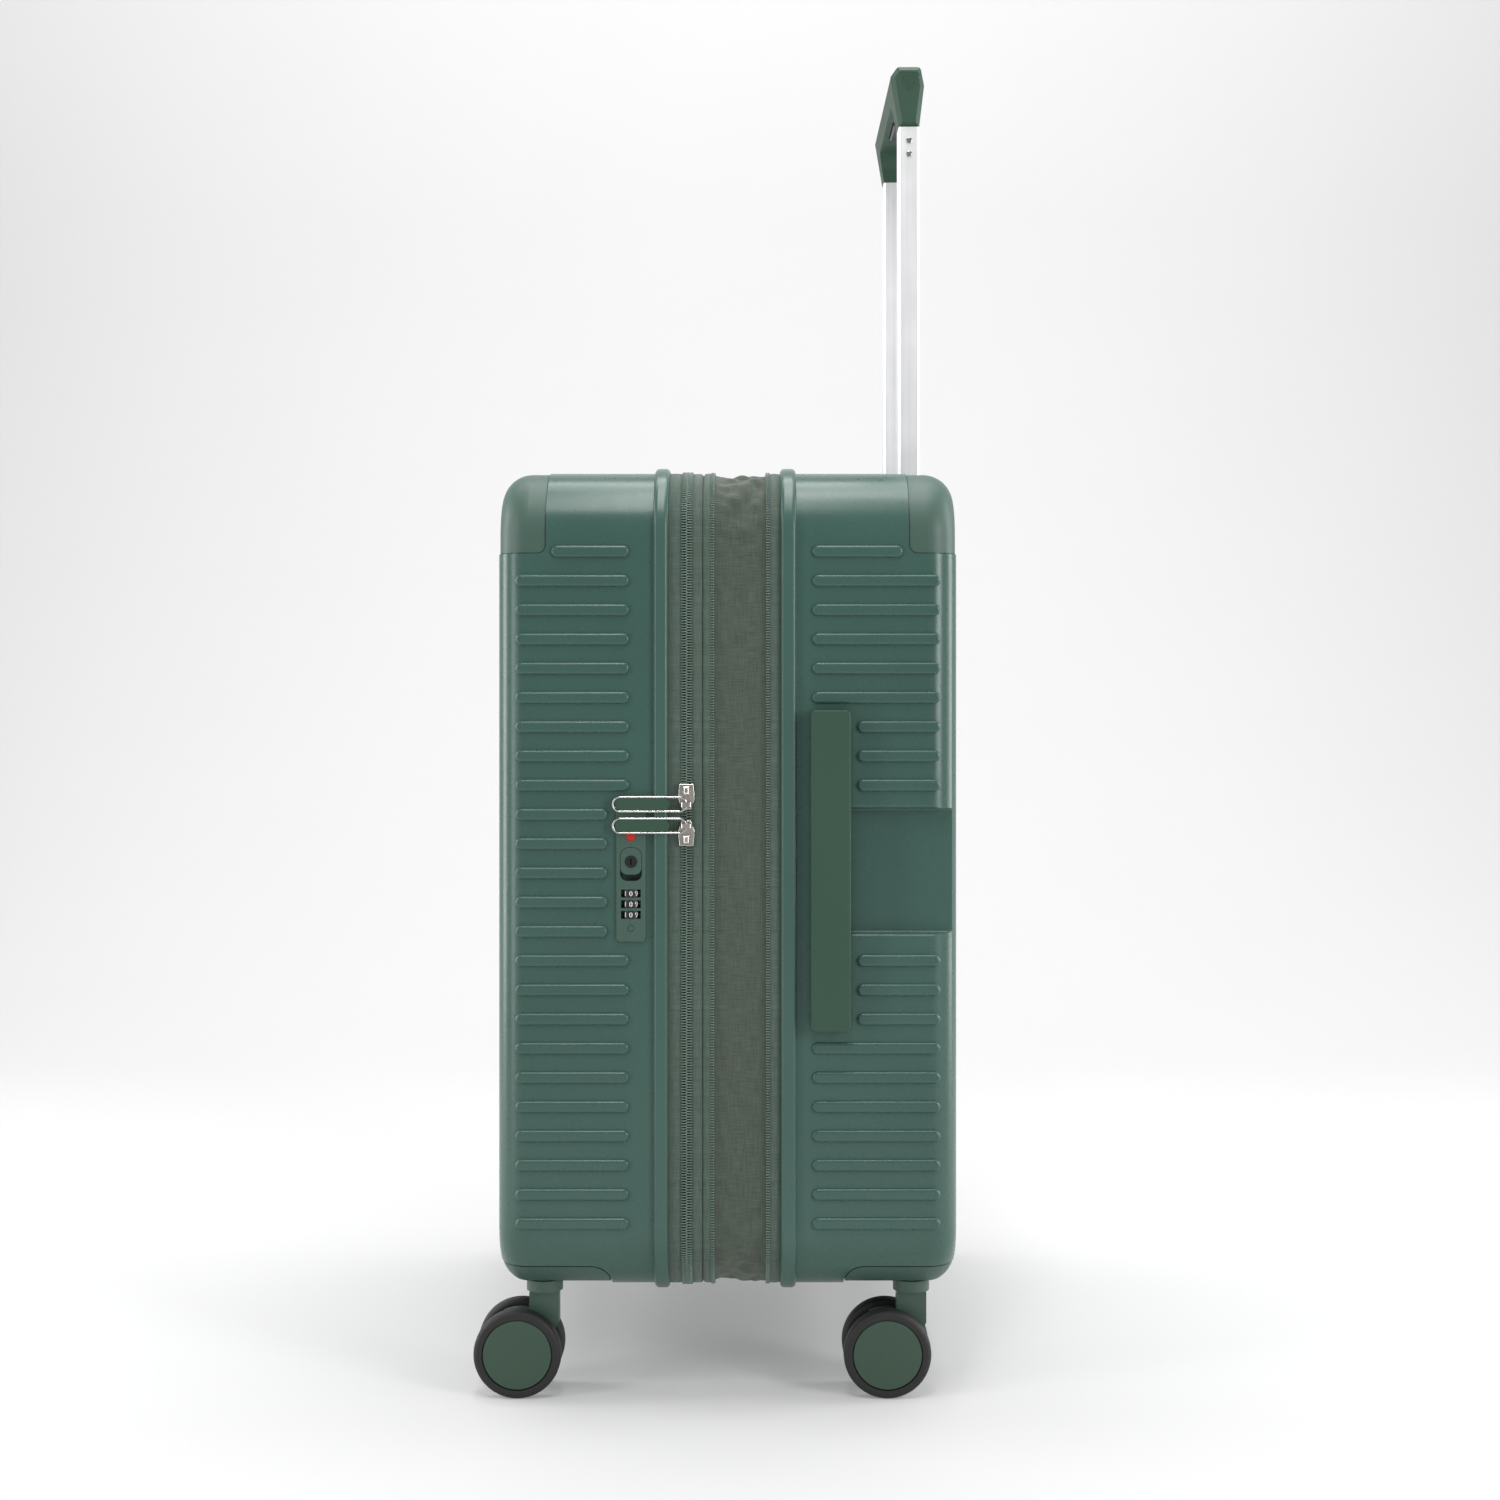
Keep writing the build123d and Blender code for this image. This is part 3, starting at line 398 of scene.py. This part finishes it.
def stitches(name, y, inset, span):
    """A row of machine stitches that dip into the cloth at each end."""
    pitch, long, thick = 3.1, 2.3, 0.2
    verts, faces = [], []
    count = int((span[1] - span[0]) / (pitch * MM))
    # places along a stitch as a share of its length, each with its height and its girth
    stations = ((-0.5, -0.9, 0.5), (-0.3, 0.3, 1), (0.0, 0.6, 1), (0.3, 0.3, 1), (0.5, -0.9, 0.5))
    rng = random.Random(name)
    for i in range(count):
        drift = rng.uniform(-0.06, 0.06)
        start = len(verts)
        for share, out, k in stations:
            s = span[0] + (i + 0.5) * pitch * MM + share * long * MM
            x, z, nx, nz = outline(s, inset * MM - out * thick * MM)
            for a in range(5):
                angle = 2 * math.pi * a / 5
                dy, dn = math.cos(angle) * thick * k * MM, math.sin(angle) * thick * k * MM
                verts.append((x + nx * dn, y * MM + drift * MM + dy, z + nz * dn))
        for j in range(len(stations) - 1):
            for k in range(5):
                a, b = start + j * 5 + k, start + j * 5 + (k + 1) % 5
                faces.append((a, b, b + 5, a + 5))
    return mesh_object(name, verts, faces)


# ---- zippers ------------------------------------------------------------------------------------
def mm(*pairs):
    return [(y * MM, inset * MM) for y, inset in pairs]


# places in Y, in millimetres: the gusset's two edges, the trims' inner edges and the main zipper
gusset_low, gusset_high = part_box("expansion_gusset")
G0, G1 = gusset_low[1] / MM, gusset_high[1] / MM
front_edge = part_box("front_trim")[1][1] / MM
back_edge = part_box("back_trim")[0][1] / MM
ZY = ZIP_Y / MM


def ripple(size, wave, seed):
    """A slight waviness of a tape along its length, in Y and in depth."""
    def move(s, v):
        a = noise.noise(Vector((s * 1000 / wave, v * 1.5, seed)))
        b = noise.noise(Vector((s * 1000 / wave, v * 1.5, seed + 9)))
        return a * size * 0.5 * MM, b * size * MM
    return move


TAPE_THICK = 0.6 * MM

# a tape's name, section, range, body and the CAD node that it stands in for
tapes = (
    ("main_tape_front",
     mm((front_edge - 0.6, 1.1), (front_edge + 0.6, 0.7), (ZY - 8, 0.55), (ZY - 5, 0.7), (ZY - 3.6, 1.3),
        (ZY - 0.4, 1.5)),
     PAST_HINGE, "front_case", "main_zip_front_half"),
    ("main_tape_rear",
     mm((ZY + 0.4, 1.5), (ZY + 3.6, 1.3), (ZY + 5, 0.7), (ZY + 7.5, 0.5), (ZY + 9.8, 0.75),
        (ZY + 10.4, 1.6)),
     PAST_HINGE, "mid_frame", "main_zip_rear_half"),
    ("band_tape",
     mm((ZY + 9.0, 2.4), (G0 - 8, 2.5), (G0 - 7.2, 1.4), (G0 - 6.6, 0.7), (G0 - 4.2, 0.45),
        (G0 - 2.4, 0.75), (G0 - 1.6, 1.5), (G0 - 0.2, 1.7)),
     ALL_ROUND, "mid_frame", "zipper_band"),
    ("expansion_tape_rear",
     mm((G1 + 0.2, 1.7), (G1 + 1.6, 1.5), (G1 + 2.6, 0.75), (G1 + 5.5, 0.45), (back_edge - 0.8, 0.8),
        (back_edge + 0.5, 1.2)),
     ALL_ROUND, "back_case", "expansion_zip_rear_half"),
)
for name, profile, span, body, node in tapes:
    piece = bake(band(name, profile, span, 3 * MM, TAPE_THICK, ripple(0.25, 23.0, len(name))))
    finish_piece(piece, "zipper", body, (node,))

backing_profile = mm((ZY + 1, 2.9), (ZY + 9, 3.0), (G0 - 0.2, 3.0))
backing = bake(band("band_backing", backing_profile, ALL_ROUND, 6 * MM, TAPE_THICK))
finish_piece(backing, "zipper", "mid_frame")

# a row's name, root and tip in Y, inset, range, share of a pitch that it starts late, size and body
rows = (
    ("teeth_main_front", ZY - 3.9, ZY + 0.5, -0.25, PAST_HINGE, 0.0, (0.55, 1.0), "front_case"),
    ("teeth_main_rear", ZY + 3.9, ZY - 0.5, -0.25, PAST_HINGE, 0.5, (0.55, 1.0), "mid_frame"),
    ("teeth_band", G0 - 2.8, G0 + 0.2, 0.0, ALL_ROUND, 0.0, (0.52, 0.9), "mid_frame"),
    ("teeth_rear", G1 + 2.8, G1 - 0.2, 0.0, ALL_ROUND, 0.5, (0.52, 0.9), "back_case"),
)
for name, root, tip, inset, span, phase, size, body in rows:
    finish_piece(teeth(name, root, tip, inset, span, phase, size), "coil", body)

# a seam's name, place in Y, inset, range and body
seams = (
    ("seam_main_front", front_edge + 2.6, 0.5, PAST_HINGE, "front_case"),
    ("seam_main_rear", ZY + 8.3, 0.45, PAST_HINGE, "mid_frame"),
    ("seam_band", G0 - 5.4, 0.4, ALL_ROUND, "mid_frame"),
    ("seam_rear", back_edge - 2.6, 0.5, ALL_ROUND, "back_case"),
)
for name, y, inset, span, body in seams:
    finish_piece(stitches(name, y, inset, span), "thread", body)

hinge_span = (hinge_low[2] - MID_Z, hinge_high[2] - MID_Z)
HINGE_STEPS = 16
hinge_profile = []
for step in range(HINGE_STEPS + 1):
    share = step / HINGE_STEPS
    y = hinge_low[1] + (hinge_high[1] - hinge_low[1]) * share
    hinge_profile.append((y, (0.7 + 0.5 * math.sin(math.pi * share)) * MM))
hinge = bake(band("fabric_hinge", hinge_profile, hinge_span, 4 * MM, 0.7 * MM, ripple(0.35, 30.0, 5.0)))
hinge.data.materials.append(looks["cloth"])
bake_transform(hinge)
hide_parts("hinge_strip")


# ---- expansion gusset ---------------------------------------------------------------------------
CORNER_MIDDLES = (RUN_Z + ARC / 2, RUN_Z + 1.5 * ARC + 2 * RUN_X, 3 * RUN_Z + 2.5 * ARC + 2 * RUN_X,
                  3 * RUN_Z + 3.5 * ARC + 4 * RUN_X)
CORNER_REACH = 0.07         # metres along the outline over which a corner's folds die away
GUSSET_STEPS = 18
SEWN = 0.6                  # millimetres that the gusset runs in under each tape
CLOTH_FRAMES = 26


def gusset_rest(s, v):
    """How far the cloth stands off its flat place before it is let go.

    It is slack between its sewn edges, with folds that are deepest at the corners, and it bulges
    out along the top.
    """
    u = s * 1000
    slack = math.sin(math.pi * v) ** 0.7
    corner = sum(math.exp(-((s - middle) / CORNER_REACH) ** 2) for middle in CORNER_MIDDLES)
    _, _, _, nz = outline(s)
    flat_end = 0.35 + 0.65 * abs(nz)
    fold_size = 3.4 * (0.08 + 0.5 * flat_end + 0.95 * corner)
    crease_size = 1.8 * (0.35 + corner + 0.5 * abs(nz))
    fold = noise.noise(Vector((u / 16 + v * 2.5, v * 1.2, 1.0))) * fold_size
    crease = noise.noise(Vector((u / 7 - v * 3.0, v * 3.0, 4.0))) * crease_size
    depth = 2.6 - 3.4 * flat_end * (1 if nz > 0 else 0.2)
    shift = noise.noise(Vector((u / 30, v * 2.0, 7.0))) * 1.4 * slack
    return shift * MM, (slack * (depth + fold + crease)) * MM


gusset_width = G1 - G0 + 2 * SEWN
gusset_profile = mm(*[(G0 - SEWN + gusset_width * k / GUSSET_STEPS, 1.75)
                      for k in range(GUSSET_STEPS + 1)])
gusset = band("gusset", gusset_profile, ALL_ROUND, 3.2 * MM, 0, gusset_rest)


def let_go(cloth):
    """Cloth simulation with both long edges held where they are sewn."""
    held = cloth.vertex_groups.new(name="held")
    wide = GUSSET_STEPS + 1
    edge = [i for i in range(len(cloth.data.vertices)) if i % wide in (0, wide - 1)]
    near = [i for i in range(len(cloth.data.vertices)) if i % wide in (1, wide - 2)]
    held.add(edge, 1.0, "REPLACE")
    held.add(near, 0.6, "REPLACE")
    sim = cloth.modifiers.new("cloth", "CLOTH")
    sim.settings.quality = 5
    sim.settings.mass = 0.12
    sim.settings.tension_stiffness = sim.settings.compression_stiffness = 25
    sim.settings.shear_stiffness, sim.settings.bending_stiffness = 8, 0.25
    sim.settings.tension_damping = sim.settings.compression_damping = 12
    sim.settings.air_damping = 4
    sim.settings.vertex_group_mass = "held"
    sim.collision_settings.use_self_collision = False
    sim.point_cache.frame_end = CLOTH_FRAMES
    scene.frame_start, scene.frame_end = 1, CLOTH_FRAMES
    for number in range(1, CLOTH_FRAMES + 1):
        scene.frame_set(number)
    bake(cloth)
    scene.frame_set(1)


let_go(gusset)
smoother = gusset.modifiers.new("round", "SUBSURF")
smoother.levels = smoother.render_levels = 1
thicker = gusset.modifiers.new("thickness", "SOLIDIFY")
thicker.thickness, thicker.offset = 0.45 * MM, 0
bake(gusset)
gusset.data.materials.append(looks["cloth"])
gusset.data.shade_smooth()
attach(gusset, "back_case")
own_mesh(gusset)
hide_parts("expansion_gusset")


# ---- numbers on the dials -----------------------------------------------------------------------
def digit_mesh(text, height):
    curve = bpy.data.curves.new("digit", "FONT")
    curve.body, curve.size, curve.offset = text, height * 1.4, height * 0.02
    curve.align_x, curve.align_y = "CENTER", "CENTER"
    holder = bpy.data.objects.new("digit", curve)
    scene.collection.objects.link(holder)
    bpy.context.view_layer.update()
    made = bpy.data.meshes.new_from_object(holder.evaluated_get(bpy.context.evaluated_depsgraph_get()))
    bpy.data.objects.remove(holder)
    return made


def dial_digits(node):
    low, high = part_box(node)
    x, y, z = ((a + b) / 2 for a, b in zip(low, high))
    radius = (high[0] - low[0]) / 2 + 0.03 * MM
    verts, faces = [], []
    for value in range(10):
        flat = digit_mesh(str(value), 3.5 * MM)
        start = len(verts)
        heights = [v.co.y for v in flat.vertices]
        middle = (min(heights) + max(heights)) / 2
        for v in flat.vertices:
            angle = -math.radians(36 * value) + v.co.x / radius
            verts.append((x + radius * math.cos(angle), y + radius * math.sin(angle),
                          z + v.co.y - middle))
        faces += [tuple(start + i for i in p.vertices) for p in flat.polygons]
    digits = mesh_object("digits_" + node, verts, faces, False)
    finish_piece(digits, "ink", node)


for node in ("dial_top", "dial_middle", "dial_bottom"):
    dial_digits(node)


# ---- grip studs ---------------------------------------------------------------------------------
def studs(name, places, radius, height):
    """Small raised hexagons. Each place is (point, one way along the face, outward)."""
    verts, faces = [], []
    for point, along, out in places:
        across = out.cross(along)
        start = len(verts)
        for scale, up in ((1.0, 0.0), (0.8, 0.8), (0.45, 1.0)):
            for k in range(6):
                angle = math.pi / 3 * k + math.pi / 6
                spoke = along * math.cos(angle) + across * math.sin(angle)
                verts.append(point + spoke * radius * scale + out * (up * height))
        for j in range(2):
            for k in range(6):
                a, b = start + j * 6 + k, start + j * 6 + (k + 1) % 6
                faces.append((a, b, b + 6, a + 6))
        faces.append(tuple(start + 12 + k for k in range(6)))
    return mesh_object(name, verts, faces)


def grip_places():
    """A field of studs along the grip's top, and a tapering one on each of its ends."""
    low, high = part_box("handle_grip")
    tube_low, tube_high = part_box("inner_tubes")
    middle = (tube_low[1] + tube_high[1]) / 2
    pitch = 2.1 * MM
    row_step = pitch * 0.87
    x_way, y_way, z_way = Vector((1, 0, 0)), Vector((0, 1, 0)), Vector((0, 0, 1))
    found = []
    for i in range(-50, 51):
        for j in range(-3, 4):
            x, y = i * pitch + (j % 2) * pitch / 2, middle + 0.1 * MM + j * row_step
            found.append((Vector((x, y, high[2])), x_way, z_way))
    for i in range(8):
        z = high[2] - 4.6 * MM - i * row_step
        reach = 3 if i < 4 else 2 if i < 6 else 1
        for j in range(-reach, reach + 1):
            y = middle + j * pitch + (i % 2) * pitch / 2
            found.append((Vector((high[0], y, z)), y_way, x_way))
            found.append((Vector((low[0], y, z)), y_way, -x_way))
    return found


grip_studs = studs("grip_studs", grip_places(), 0.82 * MM, 0.35 * MM)
finish_piece(grip_studs, "soft_touch", "trolley")


# ---- stage --------------------------------------------------------------------------------------
def add_backdrop():
    """A pale floor that curves up into a wall, away from the camera."""
    verts, faces = [], []
    reach, bend_x, bend_r, bend_steps = 9.0, -1.2, 1.4, 12
    profile = [(reach, 0.0), (bend_x, 0.0)]
    for k in range(1, bend_steps + 1):
        angle = math.pi / 2 * k / bend_steps
        profile.append((bend_x - bend_r * math.sin(angle), bend_r - bend_r * math.cos(angle)))
    profile.append((bend_x - bend_r, reach))
    for x, z in profile:
        verts += [(x, -reach, z), (x, reach, z)]
    for i in range(len(profile) - 1):
        faces.append((2 * i, 2 * i + 1, 2 * i + 3, 2 * i + 2))
    floor = mesh_object("backdrop", verts, faces)
    n = Nodes("paper")
    cloud = n.noise(n.add("TexCoord", out=3), 3, 3)
    paper = n.shades(n.between(cloud, 0, 1), (0.5, 0.5, 0.5), (0.505, 0.505, 0.505))
    n.set(Base_Color=paper, Roughness=0.9, Emission_Color=(1, 1, 1, 1), Emission_Strength=0.17)
    n.surface.inputs["Specular IOR Level"].default_value = 0.1
    floor.data.materials.append(n.material)


add_camera()
add_backdrop()
add_world(0.27)
add_light("key", (1.1, -0.1, 2.7), (0.2, 0, 0.5), (0.3, 1.6), 24)
add_light("left", (0.9, -1.3, 0.7), (0.22, -0.1, 0.4), (0.35, 1.5), 9)
add_light("right", (1.5, 1.6, 0.9), (0.22, 0.1, 0.4), (0.5, 1.2), 22)
add_light("edge_left", (-0.2, -1.9, 0.8), (0, 0, 0.4), (0.6, 1.8), 24)
add_light("edge_right", (-0.2, 1.9, 0.8), (0, 0, 0.4), (0.6, 1.8), 24)
add_light("top", (0.2, 0.2, 2.2), (0.0, 0, 0.5), (0.6, 1.2), 12)
add_light("wall", (-0.9, 0.0, 3.4), (-2.6, 0, 0.9), (4.0, 0.8), 84)
